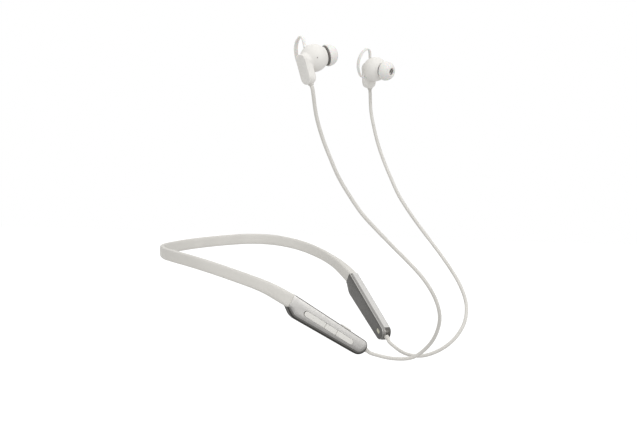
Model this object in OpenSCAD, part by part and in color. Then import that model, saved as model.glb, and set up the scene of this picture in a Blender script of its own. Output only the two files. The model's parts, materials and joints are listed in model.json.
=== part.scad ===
// Neckband earphones, laid out as they sit on a wearer who faces -Y.
// The origin is on the inner face of the band at the back of the neck.
// The right module, with the keys, is on the -X side and the left module, with the
// battery, is its mirror image. Each cord runs from a module's end to an earbud.

/* [Neckband] */
// Height of the band ribbon at the back of the neck
band_height = 7.4; // [7:0.1:8]
// Thickness of the band ribbon at the back of the neck
band_thickness = 2.8; // [2.7:0.1:3.2]
// Thickness of the band where it meets a module
band_end_thickness = 5.4; // [4.8:0.1:6]
// Width of the spring strip inside the band
spring_width = 4.4; // [4:0.1:4.5]

/* [Modules] */
// Thickness of a module, from its outer face to its inner face
module_thickness = 7.2; // [7:0.1:7.6]
// Thickness of the inner cover plate
cover_thickness = 1.0; // [0.9:0.1:1.2]
// Wall thickness of the module shells
shell_wall = 1.0; // [0.9:0.05:1.1]
// Width of the bevel round the outer face
face_bevel = 0.9; // [0.5:0.1:1]

/* [Keys] */
// Height of the key strip
key_height = 3.4; // [3:0.1:3.6]
// Gap round each key
key_gap = 0.12; // [0.08:0.01:0.15]
// Travel of each key
key_travel = 0.3; // [0.2:0.05:0.35]

/* [Earbuds] */
// Radius of the round driver housing
ball_radius = 8.4; // [8.2:0.1:8.6]
// Wall thickness of the earbud housings
bud_wall = 1.0; // [0.9:0.1:1.2]
// Half width of the flat outer plate and of the stem
stem_radius = 4.3; // [4.2:0.1:4.5]
// Outer radius of the nozzle that carries the ear tip
nozzle_radius = 2.3; // [2.2:0.05:2.4]
// Largest radius of the silicone ear tip
tip_radius = 6.7; // [6.4:0.1:7]

/* [Cords] */
// Diameter of the earbud cords
cord_diameter = 2.3; // [2.1:0.1:2.3]

/* [Hidden] */
$fn = 48;
eps = 0.01;

// Colours of the finishes
cream = [0.87, 0.86, 0.83];
satin_metal = [0.74, 0.73, 0.71];
dark_metal = [0.34, 0.33, 0.31];
key_cream = [0.83, 0.82, 0.79];
steel = [0.62, 0.63, 0.65];
board_green = [0.12, 0.3, 0.2];
black_chip = [0.12, 0.12, 0.13];
dark_silicone = [0.3, 0.29, 0.27];
pouch_silver = [0.66, 0.67, 0.69];
led_green = [0.72, 0.75, 0.62];

// Placing of a module: X runs from the band to the cord end, Z up, Y towards the neck
module_place = [-62, -104.7, -25.4];
module_turn = [2, 32.5, -44.5];
// Placing of the earbuds on the -X side: X runs along the ear tip, Z up the stem
right_bud_place = [-60, -120.5, 121.5];
right_bud_turn = [-11, -12, -44];
left_bud_place = [-60.2, -122, 121.4];
left_bud_turn = [-15.7, 9, -68];

function unit(v) = v / norm(v);
function mirrored(v) = [-v.x, v.y, v.z];
function ease(w) = let (c = min(max(w, 0), 1)) c * c * (3 - 2 * c);
function flatten(rings) = [for (ring = rings) each ring];
// The vector v after rotate(r)
function turned(v, r) =
  let (
    y1 = v.y * cos(r.x) - v.z * sin(r.x),
    z1 = v.y * sin(r.x) + v.z * cos(r.x),
    x2 = v.x * cos(r.y) + z1 * sin(r.y),
    z2 = z1 * cos(r.y) - v.x * sin(r.y)
  )
  [x2 * cos(r.z) - y1 * sin(r.z), x2 * sin(r.z) + y1 * cos(r.z), z2];
function in_module(p) = module_place + turned(p, module_turn);

// A smooth curve through the points from first to last, leaving out the two end ones
function curve_point(p, i, t) =
  0.5 * (2 * p[i] + (p[i + 1] - p[i - 1]) * t
    + (2 * p[i - 1] - 5 * p[i] + 4 * p[i + 1] - p[i + 2]) * t * t
    + (3 * p[i] - p[i - 1] - 3 * p[i + 1] + p[i + 2]) * t * t * t);
function curve(p, n) =
  [for (i = [1 : len(p) - 3], k = [0 : n - 1]) curve_point(p, i, k / n), p[len(p) - 2]];
function tangent(path, i) =
  unit(path[min(i + 1, len(path) - 1)] - path[max(i - 1, 0)]);
// Ring i of a sweep: the section's x runs sideways and its y runs along the up vector
function ring(centre, along, up, section) =
  let (u = unit(up - (up * along) * along), side = cross(along, u))
  [for (s = section) centre + s.x * side + s.y * u];

// Outlines: fillet the corners of a convex polygon, and move its edges inwards
function fillet(a, p, b, r, steps = 6) =
  r <= 0 ? [p] :
  let (
    u = unit(a - p),
    v = unit(b - p),
    half = acos(u * v) / 2,
    centre = p + unit(u + v) * r / sin(half),
    start = p + u * r / tan(half) - centre,
    end = p + v * r / tan(half) - centre,
    arc = 180 - 2 * half
  )
  [for (k = [0 : steps])
    centre + (start * sin(arc * (1 - k / steps)) + end * sin(arc * k / steps)) / sin(arc)];
function inset(points, d) =
  let (n = len(points))
  [for (i = [0 : n - 1])
    let (
      u = unit(points[(i + n - 1) % n] - points[i]),
      v = unit(points[(i + 1) % n] - points[i])
    )
    points[i] + unit(u + v) * d / sin(acos(u * v) / 2)];
function rounded(points, radii) =
  let (n = len(points))
  [for (i = [0 : n - 1])
    each fillet(points[(i + n - 1) % n], points[i], points[(i + 1) % n], radii[i])];

// Solid swept through rings that all have the same number of points
module skin(rings) {
  n = len(rings[0]);
  last = len(rings) - 1;
  polyhedron(
    points = flatten(rings),
    faces = [
      [for (k = [n - 1 : -1 : 0]) k],
      for (i = [0 : last - 1], k = [0 : n - 1])
        each [
          [i * n + k, i * n + (k + 1) % n, (i + 1) * n + k],
          [i * n + (k + 1) % n, (i + 1) * n + (k + 1) % n, (i + 1) * n + k],
        ],
      [for (k = [0 : n - 1]) last * n + k],
    ],
    convexity = 6
  );
}

// ---- Neckband ----
// The band meets each module this far above the module's centre line
band_rise = 1.4;
band_end = mirrored(in_module([0, 0, band_rise]));
band_end_direction = mirrored(turned([1, 0, 0], module_turn));
// Centre line of the left half, from the back of the neck forwards
band_half = [
  [28, -3, 0.3], [54, -17, 0.9], [68, -30, 0.7], [75.8, -45, -0.9], [78.2, -61, -4.3],
  [76, -75.5, -8.9], [71.6, -86.8, -13.4], [67, -95.8, -18],
];
band_back = [0, band_thickness / 2, 0];
band_half_points = concat(band_half, [band_end, band_end + 10 * band_end_direction]);
band_points = concat(
  [for (i = [len(band_half_points) - 1 : -1 : 0]) mirrored(band_half_points[i])],
  [band_back],
  band_half_points
);
band_path = curve(band_points, 3);
band_last = len(band_path) - 1;
// 0 in the middle of the band and 1 where it meets a module
function band_reach(i) = abs(2 * i / band_last - 1);
function band_direction(i) =
  i == 0 ? -mirrored(band_end_direction) :
  i == band_last ? band_end_direction : tangent(band_path, i);
// Half heights above and below the centre line, which grow towards a module
function band_top(i) = band_height / 2 + 0.5 * ease((band_reach(i) - 0.7) / 0.3);
function band_bottom(i) = band_height / 2 + 0.9 * ease((band_reach(i) - 0.8) / 0.2);
function band_half_thickness(i) =
  (band_thickness + (band_end_thickness - band_thickness) * ease((band_reach(i) - 0.66) / 0.34)) / 2;
band_sides = 20;
band_corner = 0.55;
function rounded_power(c) = sign(c) * pow(abs(c), band_corner);
function band_section(i) =
  [for (k = [0 : band_sides - 1])
    let (angle = 360 * k / band_sides, up = rounded_power(sin(angle)))
    [band_half_thickness(i) * rounded_power(cos(angle)), up * (up > 0 ? band_top(i) : band_bottom(i))]];
function rectangle(w, h, offset = 0) =
  [[offset + w / 2, -h / 2], [offset + w / 2, h / 2], [offset - w / 2, h / 2], [offset - w / 2, -h / 2]];
up_axis = [0, 0, 1];

// Strip of constant section along the band, reaching past the band's ends
module band_strip(section, reach) {
  skin([
    ring(band_path[0] - reach * band_direction(0), band_direction(0), up_axis, section),
    for (i = [0 : band_last]) ring(band_path[i], band_direction(i), up_axis, section),
    ring(band_path[band_last] + reach * band_direction(band_last),
      band_direction(band_last), up_axis, section),
  ]);
}
channel_thickness = 1.5;
channel_height = spring_width + 0.4;
spring_thickness = 0.5;
cable_thickness = 0.4;
strip_offset = 0.4;
spring_reach = 4.6;
cable_reach = 7.6;

module band_cover() {
  color(cream)
    difference() {
      skin([for (i = [0 : band_last])
        ring(band_path[i], band_direction(i), up_axis, band_section(i))]);
      band_strip(rectangle(channel_thickness, channel_height), 0.5);
    }
}
module band_spring() {
  color(steel) band_strip(rectangle(spring_thickness, spring_width, -strip_offset), spring_reach);
}
module band_cable() {
  color("orange") band_strip(rectangle(cable_thickness, spring_width, strip_offset), cable_reach);
}

// ---- Modules ----
module on_right_module() {
  translate(module_place) rotate(module_turn) children();
}
module on_left_module() {
  mirror([1, 0, 0]) on_right_module() children();
}
// Outline of a module seen from outside: X along it, Y up
module_corners = [[0, 5.7], [65.5, 4.9], [59.4, -5.3], [6, -7.1], [0, -3.2]];
module_radii = [0, 3.8, 6.2, 9, 0.6];
outer_face = -module_thickness / 2;
inner_face = module_thickness / 2;
parting = inner_face - cover_thickness;
cavity_face = outer_face + shell_wall;
groove = 0.15;
lip_height = 1.1;
function module_outline(d) =
  rounded(inset(module_corners, d), [for (r = module_radii) r > d ? r - d : (r > 0 ? 0.2 : 0)]);
// Slab of the module's outline between two depths
module module_slab(y0, y1, d = 0) {
  translate([0, y1, 0]) rotate([90, 0, 0]) linear_extrude(y1 - y0) polygon(module_outline(d));
}
// Cylinder along the module's depth
module pin_y(x, z, r, y0, y1) {
  translate([x, y1, z]) rotate([90, 0, 0]) cylinder(r = r, h = y1 - y0);
}
// Cylinder along the module's length
module pin_x(x0, x1, z, r, r_end = 0) {
  translate([x0, 0, z]) rotate([0, 90, 0]) cylinder(r1 = r, r2 = r_end > 0 ? r_end : r, h = x1 - x0);
}
module block(x, y, z) {
  translate([x[0], y[0], z[0]]) cube([x[1] - x[0], y[1] - y[0], z[1] - z[0]]);
}

// Window in the end wall for the band's strips, and the cord's hole at the other end
window_thickness = channel_thickness + 0.2;
window_height = channel_height + 0.1;
cord_rise = 0.5;
relief_radius = 1.65;
module_length = 64.4;
module end_openings() {
  block([-1, shell_wall + 1], [-window_thickness / 2, window_thickness / 2],
    [band_rise - window_height / 2, band_rise + window_height / 2]);
  pin_x(56, module_length, cord_rise, relief_radius);
}
// Outer shell before its own openings are cut
module outer_shell_body() {
  difference() {
    hull() {
      module_slab(outer_face, outer_face + eps, face_bevel);
      module_slab(outer_face + face_bevel, parting - groove);
    }
    module_slab(cavity_face, parting, shell_wall);
    end_openings();
  }
}
// Inner cover plate with the lip that locates it in the outer shell
cover_bevel = 0.5;
module inner_shell_body() {
  hull() {
    module_slab(parting, inner_face - cover_bevel, 0.1);
    module_slab(inner_face - eps, inner_face, 0.1 + cover_bevel);
  }
  difference() {
    module_slab(parting - lip_height, parting, shell_wall + 0.05);
    module_slab(parting - lip_height - 1, parting, shell_wall + 0.75);
    pin_x(56, module_length, cord_rise, relief_radius + 0.05);
  }
}
boss_radius = 1.5;
screw_radius = 0.6;
head_radius = 1.1;
head_height = 0.6;
// Boss on the cover plate that a board screw bites into
module boss(x, z, board_top) {
  difference() {
    pin_y(x, z, boss_radius, board_top, parting);
    pin_y(x, z, screw_radius, board_top - 1, parting - 0.1);
  }
}
module screw(x, z, board_bottom, board_top) {
  pin_y(x, z, head_radius, board_bottom - head_height, board_bottom);
  pin_y(x, z, screw_radius, board_bottom - 0.1, board_top + 0.8);
}
module clamp_block() {
  difference() {
    block([shell_wall + 0.1, 5], [-2.3, 1.4], [-1.6, 3.9]);
    block([0, 6], [-window_thickness / 2, window_thickness / 2],
      [band_rise - window_height / 2, band_rise + window_height / 2]);
  }
}
cord_radius = cord_diameter / 2;
relief_flange = 2.5;
relief_end_radius = 1.4;
module relief_sleeve() {
  difference() {
    union() {
      pin_x(57.8, 58.6, cord_rise, relief_flange);
      pin_x(58.4, 62.6, cord_rise, relief_radius);
      pin_x(62.6, module_length, cord_rise, relief_radius, relief_end_radius);
    }
    pin_x(57, module_length + 1, cord_rise, cord_radius);
  }
}
module module_lead() {
  pin_x(57, module_length, cord_rise, cord_radius - 0.05);
}

// Key strip on the right module's outer face
strip_start = 11.7;
key_joins = [28.1, 37.3];
strip_end = 50.7;
strip_rise = -0.6;
key_round = key_height / 2;
key_corner = 0.3;
key_proud = 0.2;
flange_thickness = 0.45;
plunger_radius = 0.9;
plunger_end = -0.8;
module key_outline(x0, x1, grow, r0, r1) {
  h = key_height / 2 + grow;
  polygon([for (p = rounded([[x0 - grow, -h], [x1 + grow, -h], [x1 + grow, h], [x0 - grow, h]],
    [r0, r1, r1, r0])) [p.x, p.y + strip_rise]]);
}
module key(x0, x1, r0, r1) {
  flange_face = cavity_face + 0.05;
  color(key_cream) {
    translate([0, flange_face, 0]) rotate([90, 0, 0])
      linear_extrude(flange_face - outer_face + key_proud) key_outline(x0, x1, 0, r0, r1);
    block([x0, x1], [flange_face, flange_face + flange_thickness],
      [strip_rise - key_height / 2 - 0.7, strip_rise + key_height / 2 + 0.7]);
    pin_y((x0 + x1) / 2, strip_rise, plunger_radius, flange_face + 0.1, plunger_end);
  }
}

// Button on the top edge
button_x = [39.2, 46.8];
button_half = 1.0;
button_top = 6.1;
button_foot = 3.5;
top_wall_inside = 4.0;
button_travel = 0.35;

board_outer = 0.2;
board_inner = 1.0;
right_screws = [[11.5, 1.7], [53.5, 1.4]];

module right_outer_shell() {
  color(satin_metal) on_right_module()
    difference() {
      outer_shell_body();
      translate([0, cavity_face + 1, 0]) rotate([90, 0, 0])
        linear_extrude(4)
          key_outline(strip_start, strip_end, key_gap, key_round + key_gap, key_round + key_gap);
      block([button_x[0] - 0.15, button_x[1] + 0.15], [-button_half - 0.15, button_half + 0.15], [3, 8]);
      translate([55.5, -1, -8]) cylinder(r = 0.4, h = 4);
    }
}
module right_inner_shell() {
  color(dark_metal) on_right_module() {
    inner_shell_body();
    for (s = right_screws) boss(s.x, s.y, board_inner);
  }
}
module right_board() {
  color(board_green) on_right_module()
    difference() {
      block([8.8, 56.4], [board_outer, board_inner], [-3.9, 3.0]);
      for (s = right_screws) pin_y(s.x, s.y, screw_radius + 0.1, 0, 2);
    }
}
module radio_chip() {
  color(black_chip) on_right_module() block([24, 31], [board_inner, board_inner + 0.9], [-3.8, 2]);
}
module microphone() {
  color(steel) on_right_module() block([53.4, 56.2], [board_outer - 1.1, board_outer], [-3.8, -1.8]);
}
module key_switches() {
  joins = [strip_start, key_joins[0], key_joins[1], strip_end];
  color(steel) on_right_module()
    for (i = [0 : 2]) {
      x = (joins[i] + joins[i + 1]) / 2;
      block([x - 1.5, x + 1.5], [-0.25, board_outer], [strip_rise - 1.5, strip_rise + 1.5]);
      pin_y(x, strip_rise, 0.8, -0.45, -0.2);
    }
}
module side_switch() {
  color(steel) on_right_module() block([41, 45], [-1.3, board_outer], [1.4, 3.0]);
}
module volume_up_key() {
  on_right_module() key(strip_start, key_joins[0] - key_gap / 2, key_round, key_corner);
}
module multi_key() {
  on_right_module() key(key_joins[0] + key_gap / 2, key_joins[1] - key_gap / 2, key_corner, key_corner);
}
module volume_down_key() {
  on_right_module() key(key_joins[1] + key_gap / 2, strip_end, key_corner, key_round);
}
module side_button() {
  color(key_cream) on_right_module() {
    block(button_x, [-button_half, button_half], [button_foot + 0.3, button_top]);
    block([button_x[0] - 0.5, button_x[1] + 0.5], [-1.6, 1.3], [button_foot, top_wall_inside]);
  }
}
module right_board_screws() {
  color(steel) on_right_module() for (s = right_screws) screw(s.x, s.y, board_outer, board_inner);
}
module right_band_clamp() {
  color(steel) on_right_module() clamp_block();
}
module right_strain_relief() {
  color(cream) on_right_module() relief_sleeve();
}
module right_lead() {
  color(cream) on_right_module() module_lead();
}

// Left module: battery, charging board and light
socket_x = [39.5, 48.5];
socket_y = [-2.55, 0.6];
socket_z = [-5.6, 1.0];
left_board_outer = 0.6;
left_board_inner = 1.4;
left_screws = [[50.6, 1.9], [51.5, -2.4]];
light_x = 55.5;
light_z = 0.2;
light_half_length = 0.9;
light_radius = 1.25;
// Flat pill along X, used for the light pipe and for its hole
module light_pill(r, y0, y1) {
  for (side = [-1, 1]) pin_y(light_x + side * light_half_length, light_z, r, y0, y1);
  block([light_x - light_half_length, light_x + light_half_length], [y0, y1], [light_z - r, light_z + r]);
}
// Flat pill whose mouth faces down, for the charging socket
module socket_pill(grow, z0, z1) {
  r = (socket_y[1] - socket_y[0]) / 2 + grow;
  y = (socket_y[0] + socket_y[1]) / 2;
  straight = (socket_x[1] - socket_x[0]) / 2 - (socket_y[1] - socket_y[0]) / 2;
  middle = (socket_x[0] + socket_x[1]) / 2;
  for (side = [-1, 1]) translate([middle + side * straight, y, z0]) cylinder(r = r, h = z1 - z0);
  block([middle - straight, middle + straight], [y - r, y + r], [z0, z1]);
}
module left_outer_shell() {
  color(satin_metal) on_left_module()
    difference() {
      outer_shell_body();
      socket_pill(0.02, -8, -4.2);
    }
}
module left_inner_shell() {
  color(dark_metal) on_left_module() {
    difference() {
      inner_shell_body();
      light_pill(light_radius + 0.02, parting - 1, inner_face + 1);
    }
    for (s = left_screws) boss(s.x, s.y, left_board_inner);
  }
}
module battery() {
  color(pouch_silver) on_left_module() block([9.5, 36.5], [-2.3, 1.3], [-4.8, 3.8]);
}
module charge_board() {
  color(board_green) on_left_module()
    difference() {
      block([37.5, 56.4], [left_board_outer, left_board_inner], [-3.9, 3.0]);
      for (s = left_screws) pin_y(s.x, s.y, screw_radius + 0.1, 0, 2);
    }
}
module usb_socket() {
  color(steel) on_left_module() {
    difference() {
      socket_pill(0, socket_z[0], socket_z[1]);
      socket_pill(-0.3, socket_z[0] - 1, socket_z[1] - 1);
    }
    block([40.7, 47.3], [-1.3, -0.65], [socket_z[0] + 0.6, socket_z[1] - 0.9]);
  }
}
module status_led() {
  color(led_green) on_left_module()
    block([light_x - 0.8, light_x + 0.8], [left_board_inner, left_board_inner + 0.5],
      [light_z - 0.4, light_z + 0.4]);
}
module light_pipe() {
  color(led_green) on_left_module() light_pill(light_radius, left_board_inner + 0.55, inner_face);
}
module left_board_screws() {
  color(steel) on_left_module() for (s = left_screws) screw(s.x, s.y, left_board_outer, left_board_inner);
}
module left_band_clamp() {
  color(steel) on_left_module() clamp_block();
}
module left_strain_relief() {
  color(cream) on_left_module() relief_sleeve();
}
module left_lead() {
  color(cream) on_left_module() module_lead();
}

// ---- Earbuds ----
module on_right_bud() {
  translate(right_bud_place) rotate(right_bud_turn) children();
}
module on_left_bud() {
  mirror([1, 0, 0]) translate(left_bud_place) rotate(left_bud_turn) children();
}
housing_split = -2;
plate_turn = 16;
plate_back = 9.9;
plate_thickness = 1.0;
stem_front = 5.4;
stem_top = -1.0;
stem_bottom = -10.9;
nozzle_start = 7.0;
nozzle_end = 13.0;
nozzle_wall = 0.7;
cone_start = 3.6;
cone_end_radius = 5.9;
// Solid of revolution about the ear tip's axis, from [radius, along] points
module about_tip_axis(points) {
  rotate([0, 90, 0]) rotate_extrude() polygon(points);
}
// Points on a circle of radius r, from one place along the axis to another
function arc_along(r, x0, x1, steps = 10) =
  [for (k = [0 : steps])
    let (a0 = acos(x0 / r), a1 = acos(x1 / r), a = a0 + (a1 - a0) * k / steps)
    [r * sin(a), r * cos(a)]];
// Stadium whose flat faces look along the plate's normal, between two distances
module stem_prism(r, near, far) {
  rotate([0, 0, plate_turn]) {
    for (z = [stem_top, stem_bottom])
      translate([-far, 0, z]) rotate([0, 90, 0]) cylinder(r = r, h = far - near);
    block([-far, -near], [-r, r], [stem_bottom, stem_top]);
  }
}
driver_seat = 1.5;
module front_housing() {
  inner = ball_radius - bud_wall;
  bore = nozzle_radius - nozzle_wall;
  color(cream)
    about_tip_axis(concat(
      arc_along(ball_radius, housing_split, cone_start),
      [[cone_end_radius, nozzle_start], [nozzle_radius, nozzle_start], [nozzle_radius, nozzle_end],
        [bore, nozzle_end], [bore, nozzle_start - 1], [4.6, nozzle_start - 1.4],
        [4.6, driver_seat]],
      [for (i = [10 : -1 : 0]) arc_along(inner, housing_split, driver_seat)[i]]
    ));
}
module rear_housing() {
  color(cream)
    difference() {
      union() {
        difference() {
          sphere(ball_radius);
          translate([housing_split, -10, -10]) cube([20, 20, 20]);
        }
        stem_prism(stem_radius, stem_front, plate_back);
      }
      sphere(ball_radius - bud_wall);
      stem_prism(stem_radius - bud_wall, stem_front + bud_wall, plate_back + 1);
      grommet_pin(grommet_radius, grommet_end - 1, lead_top);
    }
}
module outer_plate() {
  color(cream) stem_prism(stem_radius, plate_back, plate_back + plate_thickness);
}
module driver() {
  color(black_chip) about_tip_axis([[0, -1.8], [5.4, -1.8], [5.4, driver_seat], [0, driver_seat]]);
}
module magnet() {
  color(steel) rotate([0, 0, plate_turn])
    translate([-plate_back, 0, -8.6]) rotate([0, 90, 0]) cylinder(r = 2.2, h = 1.5);
}
module nozzle_mesh() {
  color(dark_silicone) about_tip_axis(
    [[0, nozzle_end - 0.4], [nozzle_radius - nozzle_wall, nozzle_end - 0.4],
      [nozzle_radius - nozzle_wall, nozzle_end - 0.15], [0, nozzle_end - 0.15]]);
}
grommet_radius = 1.75;
grommet_depth = 7.8;
grommet_end = -15.9;
grommet_top = -13.8;
lead_top = -12.8;
// Cylinder down the stem, where the cord leaves it
module grommet_pin(r, z0, z1) {
  rotate([0, 0, plate_turn]) translate([-grommet_depth, 0, z0]) cylinder(r = r, h = z1 - z0);
}
module grommet() {
  color(cream)
    difference() {
      grommet_pin(grommet_radius, grommet_end, grommet_top);
      grommet_pin(cord_radius, grommet_end - 1, lead_top);
    }
}
module bud_lead() {
  color(cream) grommet_pin(cord_radius - 0.05, grommet_end, lead_top);
}

// Wing: a loop of silicone from the top of the housing, back and down to its rear
wing_points = [
  [-3.4, 0, 4], [-3.3, 0.8, 7.4], [-2.8, 1.3, 11], [-2.5, 2.2, 13.6], [-2.9, 4.1, 14.9],
  [-4.1, 7.2, 13.2], [-4.9, 10.1, 9.4], [-5, 11.7, 4.5], [-4.9, 11.2, 0], [-4.7, 9.6, -3.2],
  [-4.4, 7.2, -4.7], [-4.2, 4.8, -4.8], [-3.7, 3, -4.6],
];
wing_sides = 10;
wing_half_width = 1.15;
wing_half_thickness = 0.8;
module ear_wing() {
  path = curve(wing_points, 4);
  color(cream)
    skin([for (i = [0 : len(path) - 1])
      ring(path[i], tangent(path, i), [1, 0.2, 0],
        [for (k = [0 : wing_sides - 1])
          [wing_half_thickness * cos(360 * k / wing_sides), wing_half_width * sin(360 * k / wing_sides)]])]);
}

// Ear tip: a soft dome on a dark core, whose bore slides on the nozzle
tip_clearance = 0.05;
core_flange = 6.0;
core_start = 7.4;
core_end = 13.8;
core_radius = 3.6;
module ear_tip() {
  color(cream)
    about_tip_axis([
      [core_radius, core_start + 4.6], [core_radius, core_end], [2.2, core_end], [2.2, 14.7],
      [2.7, 15.0], [3.8, 14.8], [4.9, 14.1], [5.8, 12.8], [6.4, 11.2], [tip_radius, 9.4],
      [tip_radius - 0.1, core_start + 1], [5.8, core_start + 1], [5.8, 9.6], [5.4, 11.2], [4.6, 12.4],
    ]);
}
module tip_core() {
  bore = nozzle_radius + tip_clearance;
  color(dark_silicone)
    about_tip_axis([
      [bore, core_start], [core_flange, core_start], [core_flange, core_start + 0.9],
      [core_radius, core_start + 0.9], [core_radius, core_end], [bore, core_end],
    ]);
}

module right_front_housing() { on_right_bud() front_housing(); }
module right_rear_housing() { on_right_bud() rear_housing(); }
module right_outer_plate() { on_right_bud() outer_plate(); }
module right_driver() { on_right_bud() driver(); }
module right_magnet() { on_right_bud() magnet(); }
module right_nozzle_mesh() { on_right_bud() nozzle_mesh(); }
module right_ear_wing() { on_right_bud() ear_wing(); }
module right_ear_tip() { on_right_bud() ear_tip(); }
module right_tip_core() { on_right_bud() tip_core(); }
module right_grommet() { on_right_bud() grommet(); }
module right_bud_lead() { on_right_bud() bud_lead(); }
module left_front_housing() { on_left_bud() front_housing(); }
module left_rear_housing() { on_left_bud() rear_housing(); }
module left_outer_plate() { on_left_bud() outer_plate(); }
module left_driver() { on_left_bud() driver(); }
module left_magnet() { on_left_bud() magnet(); }
module left_nozzle_mesh() { on_left_bud() nozzle_mesh(); }
module left_ear_wing() { on_left_bud() ear_wing(); }
module left_ear_tip() { on_left_bud() ear_tip(); }
module left_tip_core() { on_left_bud() tip_core(); }
module left_grommet() { on_left_bud() grommet(); }
module left_bud_lead() { on_left_bud() bud_lead(); }

// ---- Cords ----
// Exits of the cords from the modules and from the earbuds, and their directions
module_exit = in_module([module_length, 0, cord_rise]);
module_exit_direction = turned([1, 0, 0], module_turn);
stem_axis_point = turned([-grommet_depth, 0, grommet_end], [0, 0, plate_turn]);
right_bud_exit = right_bud_place + turned(stem_axis_point, right_bud_turn);
right_bud_down = turned([0, 0, -1], right_bud_turn);
left_bud_exit = mirrored(left_bud_place + turned(stem_axis_point, left_bud_turn));
left_bud_down = mirrored(turned([0, 0, -1], left_bud_turn));
right_route = [
  [-15, -157, -65], [-12.5, -169.5, -64], [-15.5, -180, -56], [-21, -187, -46],
  [-27.5, -190.5, -34.5], [-32.5, -188.5, -22.5], [-35.5, -182, -11], [-38.5, -173.5, -1],
  [-41.5, -164.5, 8.5], [-45, -156, 18], [-48.5, -147.5, 28], [-51.5, -140.5, 39],
  [-55, -134.5, 50.5], [-58, -130, 62.5], [-61, -126, 75], [-63, -123, 88],
];
left_route = [
  [16.5, -156, -67], [13, -168.5, -67.5], [13.5, -180.5, -63], [17.5, -189.5, -55.5],
  [23.5, -194.5, -45.5], [30, -194, -34.5], [34, -189, -23], [37, -182, -13],
  [40.5, -174, -3.5], [43.5, -165.5, 6], [46.5, -157, 15.5], [49.5, -149, 25],
  [52.5, -141.5, 35], [55.5, -135.5, 45.5], [58.5, -129.5, 57], [61, -124.5, 68.5],
  [63.5, -120.5, 80.5], [65.5, -117.5, 92.5],
];
// Straight lengths at a cord's two exits
module_straight = 4;
bud_straight = 3.5;
// Points of a cord: straight out of both exits, with the free route between them
function cord_points(from, out, route, to, down) =
  concat(
    [from - module_straight * out, from, from + module_straight * out],
    route,
    [to + bud_straight * down, to, to - bud_straight * down]
  );
cord_sides = 8;
module cord(points, out, down) {
  path = curve(points, 2);
  last = len(path) - 1;
  section = [for (k = [0 : cord_sides - 1])
    cord_radius * [cos(360 * (k + 0.5) / cord_sides), sin(360 * (k + 0.5) / cord_sides)]];
  skin([for (i = [0 : last])
    ring(path[i], i == 0 ? out : i == last ? -down : tangent(path, i), [1, 0, 0], section)]);
}
module right_cord() {
  color(cream) cord(
    cord_points(module_exit, module_exit_direction, right_route, right_bud_exit, right_bud_down),
    module_exit_direction, right_bud_down);
}
module left_cord() {
  color(cream) cord(
    cord_points(mirrored(module_exit), mirrored(module_exit_direction), left_route,
      left_bud_exit, left_bud_down),
    mirrored(module_exit_direction), left_bud_down);
}

band_cover();
band_spring();
band_cable();
right_outer_shell();
right_inner_shell();
right_board();
radio_chip();
microphone();
key_switches();
side_switch();
volume_up_key();
multi_key();
volume_down_key();
side_button();
right_board_screws();
right_band_clamp();
right_strain_relief();
right_lead();
left_outer_shell();
left_inner_shell();
battery();
charge_board();
usb_socket();
status_led();
light_pipe();
left_board_screws();
left_band_clamp();
left_strain_relief();
left_lead();
right_front_housing();
right_rear_housing();
right_outer_plate();
right_driver();
right_magnet();
right_nozzle_mesh();
right_ear_wing();
right_ear_tip();
right_tip_core();
right_grommet();
right_bud_lead();
left_front_housing();
left_rear_housing();
left_outer_plate();
left_driver();
left_magnet();
left_nozzle_mesh();
left_ear_wing();
left_ear_tip();
left_tip_core();
left_grommet();
left_bud_lead();
right_cord();
left_cord();
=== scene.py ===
"""Neckband earphones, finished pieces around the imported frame. Sizes are in millimetres until
a piece is put in its place, and in metres after that."""
import json
import math

import bpy
from mathutils import Euler, Matrix, Vector


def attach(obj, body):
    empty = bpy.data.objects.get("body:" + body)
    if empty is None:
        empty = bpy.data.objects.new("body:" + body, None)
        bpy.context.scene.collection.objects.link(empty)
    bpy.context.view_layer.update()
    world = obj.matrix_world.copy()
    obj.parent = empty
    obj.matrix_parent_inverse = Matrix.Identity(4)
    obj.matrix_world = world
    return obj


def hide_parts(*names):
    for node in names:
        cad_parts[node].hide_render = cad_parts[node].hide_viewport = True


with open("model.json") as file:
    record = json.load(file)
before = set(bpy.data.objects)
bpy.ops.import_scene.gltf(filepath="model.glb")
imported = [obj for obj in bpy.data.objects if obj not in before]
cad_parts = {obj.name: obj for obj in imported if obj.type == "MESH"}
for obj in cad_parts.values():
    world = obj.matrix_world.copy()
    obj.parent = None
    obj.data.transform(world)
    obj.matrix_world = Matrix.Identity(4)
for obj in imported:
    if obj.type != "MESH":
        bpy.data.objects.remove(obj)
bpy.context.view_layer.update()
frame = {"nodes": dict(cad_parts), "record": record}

MM = 0.001
ROOT = "neckband"

# ---- Places of the modules and earbuds, in millimetres and degrees ----
MODULE_PLACE, MODULE_TURN = (-62, -104.7, -25.4), (2, 32.5, -44.5)
RIGHT_BUD_PLACE, RIGHT_BUD_TURN = (-60, -120.5, 121.5), (-11, -12, -44)
LEFT_BUD_PLACE, LEFT_BUD_TURN = (-60.2, -122, 121.4), (-15.7, 9, -68)
MIRROR = Matrix.Diagonal((-1, 1, 1, 1))


def placing(place, turn, mirrored=False):
    """The matrix that takes a piece's own millimetres to its place in metres."""
    angles = Euler([math.radians(a) for a in turn], "XYZ").to_matrix().to_4x4()
    matrix = Matrix.Scale(MM, 4) @ Matrix.Translation(place) @ angles
    return MIRROR @ matrix if mirrored else matrix


MODULES = {
    "right": placing(MODULE_PLACE, MODULE_TURN),
    "left": placing(MODULE_PLACE, MODULE_TURN, mirrored=True),
}
BUDS = {
    "right": placing(RIGHT_BUD_PLACE, RIGHT_BUD_TURN),
    "left": placing(LEFT_BUD_PLACE, LEFT_BUD_TURN, mirrored=True),
}
WHOLE = Matrix.Scale(MM, 4)

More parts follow.
